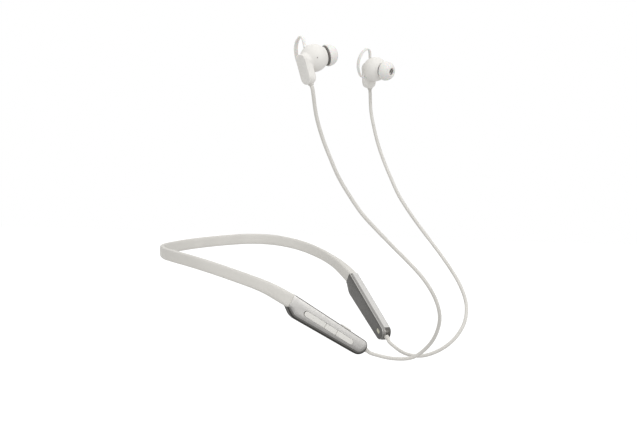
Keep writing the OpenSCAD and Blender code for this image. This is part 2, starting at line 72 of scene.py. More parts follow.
# ---- Camera ----
# Its place in metres, the way it looks in degrees from +X and below level, and its lens and sensor
CAMERA_PLACE = (-0.7375, -0.3655, 0.0733)
CAMERA_AZIMUTH, CAMERA_DIP = 19.657, 3.624
CAMERA_LENS, CAMERA_SENSOR = 67.82, 36
CAMERA_NEAREST, CAMERA_FURTHEST = 0.01, 20


def make_camera():
    bpy.ops.object.camera_add(location=CAMERA_PLACE)
    camera = bpy.context.object
    camera.name = "camera"
    azimuth, dip = math.radians(CAMERA_AZIMUTH), math.radians(CAMERA_DIP)
    level = math.cos(dip)
    ahead = Vector((math.cos(azimuth) * level, math.sin(azimuth) * level, -math.sin(dip)))
    camera.rotation_euler = ahead.to_track_quat("-Z", "Y").to_euler()
    camera.data.lens = CAMERA_LENS
    camera.data.sensor_width = CAMERA_SENSOR
    camera.data.clip_start = CAMERA_NEAREST
    camera.data.clip_end = CAMERA_FURTHEST
    bpy.context.scene.camera = camera


make_camera()


# ---- Materials ----
# Sizes of the noise under the grain and of the smudges, and the part of a noise that is used
UNEVEN_SIZE, SMUDGE_SIZE = 130.0, 320.0
NOISE_LOW, NOISE_HIGH = 0.3, 0.7


def new_group(name, inputs, outputs):
    """An empty shader node group with its sockets, and its two ends."""
    group = bpy.data.node_groups.new(name, "ShaderNodeTree")
    for socket, kind, value in inputs:
        made = group.interface.new_socket(socket, in_out="INPUT", socket_type=kind)
        made.default_value = value
    for socket, kind in outputs:
        group.interface.new_socket(socket, in_out="OUTPUT", socket_type=kind)
    entry = group.nodes.new("NodeGroupInput")
    leave = group.nodes.new("NodeGroupOutput")
    return group, entry, leave


def add_node(tree, kind, links=(), **settings):
    """A node with its settings, and its inputs linked or set by name."""
    made = tree.nodes.new(kind)
    for key, value in settings.items():
        setattr(made, key, value)
    for socket, source in links:
        if isinstance(source, bpy.types.NodeSocket):
            tree.links.new(source, made.inputs[socket])
        else:
            made.inputs[socket].default_value = source
    return made


def maths(tree, first, second, operation="ADD"):
    """The result of one Math node on two sockets or values."""
    return add_node(tree, "ShaderNodeMath", [(0, first), (1, second)], operation=operation).outputs[0]


def grain_group():
    """Fine moulded grain with a softer unevenness under it."""
    group, entry, leave = new_group(
        "moulded_grain",
        [("Size", "NodeSocketFloat", 2000.0), ("Unevenness", "NodeSocketFloat", 0.2)],
        [("Height", "NodeSocketFloat")],
    )
    place = add_node(group, "ShaderNodeTexCoord").outputs["Object"]
    fine = add_node(
        group, "ShaderNodeTexNoise",
        [("Vector", place), ("Scale", entry.outputs["Size"]), ("Detail", 3.0), ("Roughness", 0.6)],
    )
    soft = add_node(
        group, "ShaderNodeTexNoise", [("Vector", place), ("Scale", UNEVEN_SIZE), ("Detail", 2.0)]
    )
    part = maths(group, soft.outputs["Fac"], entry.outputs["Unevenness"], "MULTIPLY")
    total = maths(group, fine.outputs["Fac"], part)
    group.links.new(total, leave.inputs["Height"])
    return group


def tone_group():
    """Colour that drifts a little over the surface in patches, and an uneven roughness."""
    group, entry, leave = new_group(
        "surface_tone",
        [
            ("Light", "NodeSocketColor", (0.8, 0.8, 0.8, 1)),
            ("Dark", "NodeSocketColor", (0.7, 0.7, 0.7, 1)),
            ("Patch Size", "NodeSocketFloat", 60.0),
            ("Rough Low", "NodeSocketFloat", 0.4),
            ("Rough High", "NodeSocketFloat", 0.6),
        ],
        [("Color", "NodeSocketColor"), ("Roughness", "NodeSocketFloat")],
    )
    place = add_node(group, "ShaderNodeTexCoord").outputs["Object"]
    drift = add_node(
        group, "ShaderNodeTexNoise",
        [("Vector", place), ("Scale", entry.outputs["Patch Size"]), ("Detail", 4.0)],
    )
    spread = add_node(
        group, "ShaderNodeMapRange",
        [("Value", drift.outputs["Fac"]), ("From Min", NOISE_LOW), ("From Max", NOISE_HIGH)],
    )
    mix = add_node(
        group, "ShaderNodeMix",
        [(0, spread.outputs[0]), (6, entry.outputs["Dark"]), (7, entry.outputs["Light"])],
        data_type="RGBA",
    )
    smudge = add_node(
        group, "ShaderNodeTexNoise", [("Vector", place), ("Scale", SMUDGE_SIZE), ("Detail", 3.0)]
    )
    rough = add_node(
        group, "ShaderNodeMapRange",
        [
            ("Value", smudge.outputs["Fac"]),
            ("From Min", NOISE_LOW), ("From Max", NOISE_HIGH),
            ("To Min", entry.outputs["Rough Low"]), ("To Max", entry.outputs["Rough High"]),
        ],
    )
    group.links.new(mix.outputs[2], leave.inputs["Color"])
    group.links.new(rough.outputs[0], leave.inputs["Roughness"])
    return group


GRAIN, TONE = grain_group(), tone_group()


def finish_of(
    name, light, dark, rough, grain, bump, metallic=0.0, patch=60.0, bump_depth=0.00004, **sockets
):
    """A material with drifting colour, uneven roughness and a grain in its bump."""
    material = bpy.data.materials.new(name)
    material.use_nodes = True
    tree = material.node_tree
    shader = tree.nodes["Principled BSDF"]
    tone = tree.nodes.new("ShaderNodeGroup")
    tone.node_tree = TONE
    tone.inputs["Light"].default_value = (*light, 1)
    tone.inputs["Dark"].default_value = (*dark, 1)
    tone.inputs["Patch Size"].default_value = patch
    tone.inputs["Rough Low"].default_value = rough[0]
    tone.inputs["Rough High"].default_value = rough[1]
    skin = tree.nodes.new("ShaderNodeGroup")
    skin.node_tree = GRAIN
    skin.inputs["Size"].default_value = grain
    relief = add_node(
        tree, "ShaderNodeBump",
        [("Height", skin.outputs["Height"]), ("Strength", bump), ("Distance", bump_depth)],
    )
    tree.links.new(tone.outputs["Color"], shader.inputs["Base Color"])
    tree.links.new(tone.outputs["Roughness"], shader.inputs["Roughness"])
    tree.links.new(relief.outputs["Normal"], shader.inputs["Normal"])
    shader.inputs["Metallic"].default_value = metallic
    for socket, value in sockets.items():
        shader.inputs[socket.replace("_", " ")].default_value = value
    return material


BAND_SILICONE = finish_of(
    "band_silicone", (0.645, 0.628, 0.59), (0.615, 0.598, 0.561), (0.5, 0.62), 2600, 0.25,
    Specular_IOR_Level=0.35,
)
CORD_SILICONE = finish_of(
    "cord_silicone", (0.66, 0.642, 0.605), (0.61, 0.593, 0.557), (0.48, 0.6), 2600, 0.2,
    Specular_IOR_Level=0.35,
)
BUD_SHELL = finish_of(
    "bud_shell", (0.79, 0.772, 0.735), (0.77, 0.752, 0.715), (0.44, 0.54), 3200, 0.2,
    Specular_IOR_Level=0.35,
)
TIP_SILICONE = finish_of(
    "tip_silicone", (0.80, 0.79, 0.76), (0.78, 0.77, 0.74), (0.42, 0.52), 3000, 0.15,
    Specular_IOR_Level=0.35, Subsurface_Weight=0.1, Subsurface_Scale=0.001,
)
SAND_PLATE = finish_of(
    "sand_grained_plate", (0.76, 0.745, 0.71), (0.68, 0.665, 0.63), (0.5, 0.65), 1500, 0.9,
    bump_depth=0.00008, patch=900,
)
SATIN_METAL = finish_of(
    "satin_champagne_metal", (0.74, 0.725, 0.70), (0.71, 0.695, 0.67), (0.3, 0.38), 4200, 0.1,
    metallic=0.9, patch=90,
)
# Painted shade: a darker copy of the satin shell that blends the face into the painted dark rim along
# the lower edge and tip
EDGE_PAINTED_SHADE = finish_of(
    "satin_edge_painted_shade", (0.36, 0.35, 0.335), (0.33, 0.32, 0.305), (0.26, 0.34), 3600, 0.08,
    metallic=0.9,
)
# Painted shade and dark reflection: a dark copy of the satin shell for its rounded lower edge, tip,
# swoop to the band and a thin line on the top edge
PAINTED_RIM_SHADE = finish_of(
    "rim_painted_shade", (0.15, 0.145, 0.135), (0.13, 0.125, 0.115), (0.14, 0.2), 2200, 0.05,
    metallic=0.85,
)
# Painted shade: a darker, less metallic copy of the satin shell for its side wall
WALL_PAINTED_SHADE = finish_of(
    "side_wall_painted_shade", (0.62, 0.61, 0.588), (0.59, 0.58, 0.56), (0.36, 0.44), 3600, 0.12,
    metallic=0.3,
)
# Painted shade: a dark copy of the satin shell for the chamfer in the groove where the shell meets the
# inner cover
CHAMFER_PAINTED_SHADE = finish_of(
    "chamfer_painted_shade", (0.36, 0.35, 0.335), (0.33, 0.32, 0.305), (0.3, 0.36), 3600, 0.08, metallic=0.6,
)
# Painted shade and dark reflection: a dark metal colour for the whole inner cover, which faces in and
# down
COVER_PAINTED_SHADE = finish_of(
    "cover_painted_shade", (0.155, 0.151, 0.142), (0.14, 0.137, 0.128), (0.3, 0.38), 4000, 0.1,
    metallic=0.5,
)
# Painted highlight: a brighter copy of the cover's metal for the bevel round its edge
BEVEL_PAINTED_HIGHLIGHT = finish_of(
    "bevel_painted_highlight", (0.5, 0.49, 0.47), (0.46, 0.45, 0.43), (0.2, 0.28), 2400, 0.05, metallic=0.8,
)
KEY_CREAM = finish_of(
    "key_cream", (0.72, 0.705, 0.67), (0.69, 0.675, 0.64), (0.45, 0.55), 3000, 0.2,
)
LIGHT_LENS = finish_of(
    "light_lens", (0.55, 0.54, 0.42), (0.50, 0.49, 0.38), (0.25, 0.32), 1800, 0.05,
    Coat_Weight=0.3,
)
DARK_SILICONE = finish_of(
    "dark_silicone", (0.17, 0.16, 0.147), (0.15, 0.14, 0.13), (0.4, 0.52), 2600, 0.2,
)
STEEL = finish_of(
    "plain_steel", (0.45, 0.45, 0.46), (0.38, 0.38, 0.39), (0.25, 0.36), 2400, 0.1, metallic=1.0,
)
RIBBON = finish_of("amber_ribbon", (0.45, 0.2, 0.05), (0.4, 0.17, 0.04), (0.3, 0.4), 1500, 0.1)
BOARD = finish_of("board_mask", (0.03, 0.12, 0.06), (0.02, 0.09, 0.045), (0.3, 0.42), 1200, 0.15)
MOULDED_BLACK = finish_of(
    "moulded_black", (0.02, 0.02, 0.022), (0.015, 0.015, 0.017), (0.4, 0.55), 1600, 0.2,
)
FOIL = finish_of(
    "battery_foil", (0.5, 0.5, 0.52), (0.42, 0.42, 0.44), (0.3, 0.45), 700, 0.4, metallic=0.8,
)


# ---- Modelling ----
MERGE_DISTANCE = 0.0005


def deselect():
    bpy.ops.object.select_all(action="DESELECT")


def select_only(*pieces):
    deselect()
    for piece in pieces:
        piece.select_set(True)
    bpy.context.view_layer.objects.active = pieces[0]


def cap_ends(piece, layer_of, last):
    """A face closes the first ring and another closes the last, each marked by its ring."""
    for layer in (0, last):
        bpy.ops.object.mode_set(mode="EDIT")
        bpy.ops.mesh.select_mode(type="VERT")
        bpy.ops.mesh.select_all(action="DESELECT")
        bpy.ops.object.mode_set(mode="OBJECT")
        for vertex in piece.data.vertices:
            vertex.select = layer_of[vertex.index] == layer
        bpy.ops.object.mode_set(mode="EDIT")
        bpy.ops.mesh.edge_face_add()
        bpy.ops.object.mode_set(mode="OBJECT")
        face_ring = piece.data.attributes["ring"]
        for face in piece.data.polygons:
            if face.select:
                face_ring.data[face.index].value = -1 if layer == 0 else layer


def skinned(name, rings, capped=True, closed=False):
    """A circle is extruded ring by ring, then every ring takes its own outline."""
    deselect()
    count = len(rings[0])
    bpy.ops.mesh.primitive_circle_add(vertices=count, radius=1)
    piece = bpy.context.object
    piece.name = name
    bpy.ops.object.mode_set(mode="EDIT")
    bpy.ops.mesh.select_all(action="SELECT")
    for _ in rings[1:]:
        bpy.ops.mesh.extrude_region_move(TRANSFORM_OT_translate={"value": (0, 0, 1)})
    bpy.ops.object.mode_set(mode="OBJECT")
    layer_of, sector_of = [], []
    for vertex in piece.data.vertices:
        angle = math.atan2(vertex.co.y, vertex.co.x) % (2 * math.pi)
        layer_of.append(round(vertex.co.z))
        sector_of.append(round(angle / (2 * math.pi) * count) % count)
    face_ring = piece.data.attributes.new("ring", "INT", "FACE")
    face_sector = piece.data.attributes.new("sector", "INT", "FACE")
    for face in piece.data.polygons:
        sectors = [sector_of[v] for v in face.vertices]
        face_ring.data[face.index].value = min(layer_of[v] for v in face.vertices)
        wraps = 0 in sectors and count - 1 in sectors
        face_sector.data[face.index].value = count - 1 if wraps else min(sectors)
    for vertex in piece.data.vertices:
        vertex.co = rings[layer_of[vertex.index]][sector_of[vertex.index]]
    if capped:
        cap_ends(piece, layer_of, len(rings) - 1)
    if closed:
        bpy.ops.object.mode_set(mode="EDIT")
        bpy.ops.mesh.select_all(action="SELECT")
        bpy.ops.mesh.remove_doubles(threshold=MERGE_DISTANCE)
        bpy.ops.object.mode_set(mode="OBJECT")
    outward(piece)
    return piece


def outward(piece):
    """Every face turned to point out of the piece."""
    select_only(piece)
    bpy.ops.object.mode_set(mode="EDIT")
    bpy.ops.mesh.select_all(action="SELECT")
    bpy.ops.mesh.normals_make_consistent(inside=False)
    bpy.ops.object.mode_set(mode="OBJECT")


def coat(piece, *materials):
    piece.data.materials.clear()
    for material in materials:
        piece.data.materials.append(material)


def paint(piece, index, test):
    """The faces whose ring and sector pass the test take that material."""
    rings = piece.data.attributes["ring"].data
    sectors = piece.data.attributes["sector"].data
    for face in piece.data.polygons:
        if test(rings[face.index].value, sectors[face.index].value):
            face.material_index = index


def apply_modifier(piece, kind, **settings):
    select_only(piece)
    modifier = piece.modifiers.new(kind.lower(), kind)
    for key, value in settings.items():
        setattr(modifier, key, value)
    bpy.ops.object.modifier_apply(modifier=modifier.name)


def cut(piece, cutter, operation="DIFFERENCE"):
    """The cutter is taken off the piece, or grown into it, and is used up."""
    apply_modifier(piece, "BOOLEAN", object=cutter, operation=operation, solver="EXACT")
    bpy.data.objects.remove(cutter, do_unlink=True)


def put(piece, place, body, slot, *nodes, smooth=35):
    """The piece goes to its place, with its place in its mesh, and stands for its CAD nodes."""
    select_only(piece)
    piece.matrix_world = place
    bpy.ops.object.transform_apply(location=True, rotation=True, scale=True)
    outward(piece)
    bpy.ops.object.shade_smooth_by_angle(angle=math.radians(smooth))
    if nodes:
        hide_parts(*nodes)
    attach(piece, body)


def join(first, *others):
    select_only(first, *others)
    bpy.ops.object.join()


def along_y(points, y):
    return [Vector((x, y, z)) for x, z in points]


def fillet(a, p, b, radius, steps):
    """The arc that rounds corner p between its neighbours a and b."""
    u, v = (a - p).normalized(), (b - p).normalized()
    half = u.angle(v) / 2
    centre = p + (u + v).normalized() * radius / math.sin(half)
    start, end = p + u * radius / math.tan(half) - centre, p + v * radius / math.tan(half) - centre
    arc = math.pi - 2 * half
    points = []
    for k in range(steps + 1):
        first, second = math.sin(arc * (1 - k / steps)), math.sin(arc * k / steps)
        points.append(centre + (start * first + end * second) / math.sin(arc))
    return points


def inset(points, distance):
    """A convex outline with every side moved in by a distance."""
    moved = []
    for i, point in enumerate(points):
        u = (points[i - 1] - point).normalized()
        v = (points[(i + 1) % len(points)] - point).normalized()
        moved.append(point + (u + v).normalized() * distance / math.sin(u.angle(v) / 2))
    return moved


def rounded(points, radii, steps):
    """An outline with every corner rounded by its own radius."""
    outline = []
    for i, point in enumerate(points):
        outline += fillet(points[i - 1], point, points[(i + 1) % len(points)], radii[i], steps)
    return outline


def smooth_curve(points, steps):
    """A curve through all the points but the first and last."""
    path = []
    for i in range(1, len(points) - 2):
        a, b, c, d = points[i - 1 : i + 3]
        for k in range(steps):
            t = k / steps
            path.append(0.5 * (
                2 * b + (c - a) * t
                + (2 * a - 5 * b + 4 * c - d) * t**2
                + (3 * b - a - 3 * c + d) * t**3
            ))
    return path + [points[-2].copy()]


def soft_rectangle(sides, corner):
    """An outline of half size 1 each way, an ellipse at corner 1 and squarer below it."""
    outline = []
    for k in range(sides):
        angle = 2 * math.pi * (k + 0.5) / sides
        x, y = math.cos(angle), math.sin(angle)
        outline.append((math.copysign(abs(x) ** corner, x), math.copysign(abs(y) ** corner, y)))
    return outline


def ring_at(centre, ahead, up, section):
    """A section set square to the way ahead, with its Y as near as it can be to up."""
    up = (up - up.dot(ahead) * ahead).normalized()
    side = ahead.cross(up)
    return [centre + x * side + y * up for x, y in section]


def ahead_at(path, i):
    return (path[min(i + 1, len(path) - 1)] - path[max(i - 1, 0)]).normalized()


def turned(name, profile, count=64, capped=True, closed=False):
    """Rings about the X axis, from (place along, radius) pairs."""
    angles = [2 * math.pi * k / count for k in range(count)]
    rings = []
    for x, radius in profile:
        rings.append([Vector((x, radius * math.cos(a), radius * math.sin(a))) for a in angles])
    return skinned(name, rings, capped, closed)


# ---- Cords ----
# The exit from a module, and the exit from a bud down its stem, in millimetres
CORD_DIAMETER = 2.3
MODULE_LENGTH, CORD_RISE = 64.4, 0.5
GROMMET_DEPTH, GROMMET_END = 7.8, -15.9
PLATE_TURN = math.radians(16)
TO_STEM = Matrix.Rotation(PLATE_TURN, 3, "Z")
# How far the cord runs straight out of each, and the lengths of the whole cords, in metres
MODULE_STRAIGHT, BUD_STRAIGHT = 0.004, 0.0035
ROUTE_STEPS = 4
RIGHT_ROUTE = [
    (-15, -157, -65), (-12.5, -169.5, -64), (-15.5, -180, -56), (-21, -187, -46),
    (-27.5, -190.5, -34.5), (-32.5, -188.5, -22.5), (-35.5, -182, -11), (-38.5, -173.5, -1),
    (-41.5, -164.5, 8.5), (-45, -156, 18), (-48.5, -147.5, 28), (-51.5, -140.5, 39),
    (-55, -134.5, 50.5), (-58, -130, 62.5), (-61, -126, 75), (-63, -123, 88),
]
LEFT_ROUTE = [
    (16.5, -156, -67), (13, -168.5, -67.5), (13.5, -180.5, -63), (17.5, -189.5, -55.5),
    (23.5, -194.5, -45.5), (30, -194, -34.5), (34, -189, -23), (37, -182, -13),
    (40.5, -174, -3.5), (43.5, -165.5, 6), (46.5, -157, 15.5), (49.5, -149, 25),
    (52.5, -141.5, 35), (55.5, -135.5, 45.5), (58.5, -129.5, 57), (61, -124.5, 68.5),
    (63.5, -120.5, 80.5), (65.5, -117.5, 92.5),
]


def make_cord(side, route):
    module, bud = MODULES[side], BUDS[side]
    out = (module.to_3x3() @ Vector((1, 0, 0))).normalized()
    down = (bud.to_3x3() @ Vector((0, 0, -1))).normalized()
    start = module @ Vector((MODULE_LENGTH, 0, CORD_RISE))
    end = bud @ (TO_STEM @ Vector((-GROMMET_DEPTH, 0, GROMMET_END)))
    points = [start - MODULE_STRAIGHT * out, start, start + MODULE_STRAIGHT * out]
    points += [Vector(p) * MM for p in route]
    points += [end + BUD_STRAIGHT * down, end, end - BUD_STRAIGHT * down]
    path = smooth_curve(points, ROUTE_STEPS)
    deselect()
    bpy.ops.curve.primitive_bezier_curve_add(location=(0, 0, 0))
    cord = bpy.context.object
    cord.name = side + "_earbud_cord"
    data = cord.data
    data.dimensions = "3D"
    data.splines.clear()
    spline = data.splines.new("POLY")
    spline.points.add(len(path) - 1)
    for place, point in zip(path, spline.points):
        point.co = (*place, 1)
    data.bevel_depth = CORD_DIAMETER / 2 * MM
    data.bevel_resolution = 6
    data.use_fill_caps = True
    data.materials.append(CORD_SILICONE)
    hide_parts(side + "_cord")
    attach(cord, ROOT)


make_cord("right", RIGHT_ROUTE)
make_cord("left", LEFT_ROUTE)

# ---- Neckband ----
# How high the ribbon meets a module, and its middle from near the back of the neck to there
BAND_RISE = 1.4
BAND_HALF = [
    (28, -3, 0.3), (54, -17, 0.9), (68, -30, 0.7), (75.8, -45, -0.9), (78.2, -61, -4.3),
    (76, -75.5, -8.9), (71.6, -86.8, -13.4), (67, -95.8, -18),
]
BAND_BACK = (0, 1.4, 0)
BAND_HEIGHT, BAND_THICKNESS, BAND_END_THICKNESS = 7.4, 2.8, 6.4
BAND_OUTLINE = soft_rectangle(36, 0.5)
BAND_STEPS = 6
# How much further it reaches up and down at the modules, and the shares of the way from the back
# at which it starts to grow up, down and thicker
GROWS_UP, GROWS_DOWN = 0.5, 0.9
UP_FROM, DOWN_FROM, THICK_FROM = 0.7, 0.8, 0.66


def ease(share):
    """0 up to share 0, 1 from share 1 on, and smooth between them."""
    share = min(max(share, 0), 1)
    return share * share * (3 - 2 * share)


def make_band():
    place = MODULES["left"]
    end = place @ Vector((0, 0, BAND_RISE)) / MM
    direction = (place.to_3x3() @ Vector((1, 0, 0))).normalized()
    half = [Vector(p) for p in BAND_HALF] + [end, end + 10 * direction]
    mirrored = [Vector((-p.x, p.y, p.z)) for p in reversed(half)]
    path = smooth_curve(mirrored + [Vector(BAND_BACK)] + half, BAND_STEPS)
    last = len(path) - 1
    rings = []
    for i, centre in enumerate(path):
        reach = abs(2 * i / last - 1)
        top = BAND_HEIGHT / 2 + GROWS_UP * ease((reach - UP_FROM) / (1 - UP_FROM))
        bottom = BAND_HEIGHT / 2 + GROWS_DOWN * ease((reach - DOWN_FROM) / (1 - DOWN_FROM))
        grown = ease((reach - THICK_FROM) / (1 - THICK_FROM))
        half_thickness = (BAND_THICKNESS + (BAND_END_THICKNESS - BAND_THICKNESS) * grown) / 2
        section = [(half_thickness * x, y * (top if y > 0 else bottom)) for x, y in BAND_OUTLINE]
        ahead = ahead_at(path, i)
        if i == last:
            ahead = direction
        if i == 0:
            ahead = Vector((direction.x, -direction.y, -direction.z))
        rings.append(ring_at(centre, ahead, Vector((0, 0, 1)), section))
    band = skinned("neck_ribbon", rings)
    coat(band, BAND_SILICONE)
    put(band, WHOLE, ROOT, "band_silicone", "band_cover", smooth=60)


make_band()

# ---- Modules ----
# A module's outline from the band's top edge round the tip, as (along, height), and its radii
MODULE_CORNERS = [(0, 5.7), (65.5, 4.9), (59.4, -5.3), (6, -7.1), (0, -3.2)]
MODULE_RADII = [0.25, 4.6, 6.3, 9, 0.6]
CORNER_STEPS = 8
# The strip of keys: its height and rise, its ends and joins along the module, and the gap round it
KEY_HEIGHT, STRIP_RISE = 3.4, -0.6
STRIP_START, KEY_JOINS, STRIP_END = 11.7, (28.1, 37.3), 50.7
KEY_GAP = 0.09
# The slot runs on past the first key, and the keys stand this far from their joins
SLOT_START, SLOT_DEPTHS, KEY_NOTCH, KEY_CORNER = 0.55, (-1.6, -6), 0.13, 0.3
# Sectors of the outline: the tip from the top corner on, the lower edge and the swoop to the band
TIP_START = CORNER_STEPS + 1
SWOOP_START, SWOOP_END = 3 * CORNER_STEPS + 3, 4 * CORNER_STEPS + 3
LAST_SECTOR = 5 * CORNER_STEPS + 4
# Outer rim and crown of the outer face: (depth, distance in at the top, and at the bottom)
FACE_RIM = [(-2.2, 0, 0), (-2.7, 0.05, 0.4), (-3.0, 0.18, 0.95), (-3.2, 0.38, 1.45), (-3.34, 0.6, 1.95)]
FACE_CROWN = [
    (-3.45, 1.1, 2.35), (-3.55, 1.8, 2.8), (-3.62, 2.6, 3.3), (-3.67, 3.4, 3.8), (-3.69, 4.2, 4.4),
]
# Edge of the outer shell where the inner cover meets it: (depth, distance in)
SHELL_EDGE = [(2.2, 1.3), (2.2, 0.9), (1.1, 0.0)]
# Lip, bevel and crown of the inner cover: (depth, distance in at the top, and at the bottom)
COVER_LEVELS = [
    (1.9, 1.2, 1.2), (2.7, 1.2, 1.2), (2.7, 0.25, 0.25), (3.0, 0.18, 0.3), (3.3, 0.45, 0.9),
    (3.42, 0.65, 1.6), (3.5, 0.95, 2.3), (3.56, 1.5, 3.0), (3.6, 2.3, 3.8), (3.62, 3.2, 4.6),
]


def module_ring(y, distance):
    """The module's outline at a depth, moved in by a distance."""
    corners = inset([Vector(c) for c in MODULE_CORNERS], distance)
    radii = [max(r - distance, 0.12) for r in MODULE_RADII]
    return along_y(rounded(corners, radii, CORNER_STEPS), y)


def lower_share(sector):
    """1 along the lower edge and 0 along the upper one and at the band."""
    return ease((sector - TIP_START) / CORNER_STEPS) * ease((SWOOP_END + 2 - sector) / 2)


def rim_ring(y, upper, lower):
    """An outline whose lower edge is moved in further, and which stays flush with the band."""
    rings = zip(module_ring(y, 0), module_ring(y, upper), module_ring(y, lower))
    points = []
    for k, (edge, high, low) in enumerate(rings):
        point = high.lerp(low, lower_share(k))
        if k <= CORNER_STEPS // 2 or k > SWOOP_END + 1:
            point.x = edge.x
        points.append(point)
    return points


def key_outline(x0, x1, grow, r0, r1, shrink=0.0):
    """A key from x0 to x1 with its own radius at each end, grown and then moved in."""
    half = KEY_HEIGHT / 2 + grow
    corners = [(x0 - grow, -half), (x1 + grow, -half), (x1 + grow, half), (x0 - grow, half)]
    corners = inset([Vector(c) for c in corners], shrink)
    radii = [max(r - shrink, 0.05) for r in (r0, r1, r1, r0)]
    return [(p.x, p.y + STRIP_RISE) for p in rounded(corners, radii, CORNER_STEPS)]


def make_shell(side):
    """The outer shell: satin face, dark rim round the lower edge and tip as painted shade and dark
    reflection, and a side wall and chamfer painted as shaded copies of the satin.
    """
    rings = [rim_ring(y, d, d) for y, d in SHELL_EDGE]
    rings += [rim_ring(*level) for level in FACE_RIM + FACE_CROWN]
    shell = skinned(side + "_shell", rings)
    coat(shell, SATIN_METAL, PAINTED_RIM_SHADE, WALL_PAINTED_SHADE, EDGE_PAINTED_SHADE, CHAMFER_PAINTED_SHADE)
    # Painted shade: 1 is the dark rim, 2 the shaded side wall, 3 the darker edge strip and 4 the shaded
    # chamfer
    rim_shade, wall_shade, edge, chamfer_shade = 1, 2, 3, 4
    first_rim = len(SHELL_EDGE)
    rim_middle = first_rim + 2
    first_crown = first_rim + len(FACE_RIM) - 1
    around = range(TIP_START, LAST_SECTOR)
    tip = range(TIP_START, SWOOP_START - 1 - CORNER_STEPS // 2)
    top_edge = (CORNER_STEPS,)
    paint(shell, wall_shade, lambda ring, sector: ring < first_rim)
    paint(shell, chamfer_shade, lambda ring, sector: ring == 1)
    paint(shell, rim_shade, lambda ring, sector: 1 < ring < first_rim and sector in tip)
    paint(shell, rim_shade, lambda ring, sector: 1 < ring < first_rim and sector >= SWOOP_START)
    paint(shell, rim_shade, lambda ring, sector: first_rim <= ring < rim_middle and sector in around)
    paint(shell, edge, lambda ring, sector: rim_middle <= ring < first_crown and sector in around)
    paint(shell, rim_shade, lambda ring, sector: first_rim < ring < first_crown and sector in top_edge)
    return shell


def make_cover(side):
    """The inner cover, coloured dark as painted shade and dark reflection, with a painted highlight on
    the bevel round its edge.
    """
    cover = skinned(side + "_inner_cover", [rim_ring(*level) for level in COVER_LEVELS])
    coat(cover, COVER_PAINTED_SHADE, BEVEL_PAINTED_HIGHLIGHT)
    # The bevel's rings take the painted highlight
    paint(cover, 1, lambda ring, sector: ring in (2, 3))
    return cover


def make_pocket(outline, y0, y1):
    """A cutter of that outline between two depths."""
    return skinned("pocket", [along_y(outline, y0), along_y(outline, y1)])


# The side button: its ends along the module, half its width, its foot and top, and its rounding
BUTTON_SPAN, BUTTON_HALF = (39.2, 46.8), 1.0
BUTTON_HEIGHTS, BUTTON_ROUND = (3.8, 6.1), 0.45
# The hole that it sits in: the gap round it, its floor and a height past the top, and its rounding
BUTTON_GAP, HOLE_HEIGHTS, HOLE_ROUND = 0.2, (3.1, 8), 0.25
MICROPHONE_HOLE, MICROPHONE_RADIUS, MICROPHONE_DEPTH = (55.5, -1, -7), 0.4, 3
# Plus and minus: half a bar's length and width, its foot and face, and how far it is off the middle
BAR_HALF, BAR_WIDTH, BAR_DEPTHS, BAR_ROUND = 0.65, 0.1, (-3.9, -3.7), 0.04
PLUS_BACK, MINUS_BACK = 1.6, 0.6
# Sides and top of a key's cap: (depth, distance in)
KEY_LEVELS = [(-2.3, 0), (-3.62, 0), (-3.74, 0.05), (-3.8, 0.16), (-3.83, 0.5), (-3.84, 1.0)]


def box_piece(name, x, y, z, bevel=0.0, segments=3):
    """A box between two places on each axis, with rounded edges."""
    deselect()
    bpy.ops.mesh.primitive_cube_add(size=1)
    piece = bpy.context.object
    piece.name = name
    bpy.ops.object.mode_set(mode="EDIT")
    bpy.ops.mesh.select_all(action="SELECT")
    size = (x[1] - x[0], y[1] - y[0], z[1] - z[0])
    middle = ((x[0] + x[1]) / 2, (y[0] + y[1]) / 2, (z[0] + z[1]) / 2)
    bpy.ops.transform.resize(value=size)
    bpy.ops.transform.translate(value=middle)
    if bevel:
        bpy.ops.mesh.bevel(offset=bevel, segments=segments, affect="EDGES")
    bpy.ops.object.mode_set(mode="OBJECT")
    return piece


def make_key(name, x0, x1, r0, r1, mark_back=None, crossed=False):
    """A key's cap, with a raised bar for minus or two of them crossed for plus."""
    rings = [along_y(key_outline(x0, x1, 0, r0, r1, shrink), y) for y, shrink in KEY_LEVELS]
    key = skinned(name + "_cap", rings)
    if mark_back:
        middle = (x0 + x1) / 2 - mark_back
        across = (middle - BAR_HALF, middle + BAR_HALF)
        narrow = (STRIP_RISE - BAR_WIDTH, STRIP_RISE + BAR_WIDTH)
        bars = [box_piece("bar", across, BAR_DEPTHS, narrow, BAR_ROUND)]
        if crossed:
            thin = (middle - BAR_WIDTH, middle + BAR_WIDTH)
            upright = (STRIP_RISE - BAR_HALF, STRIP_RISE + BAR_HALF)
            bars.append(box_piece("bar", thin, BAR_DEPTHS, upright, BAR_ROUND))
        join(key, *bars)
    coat(key, KEY_CREAM)
    put(key, MODULES["right"], name, "keys", name)


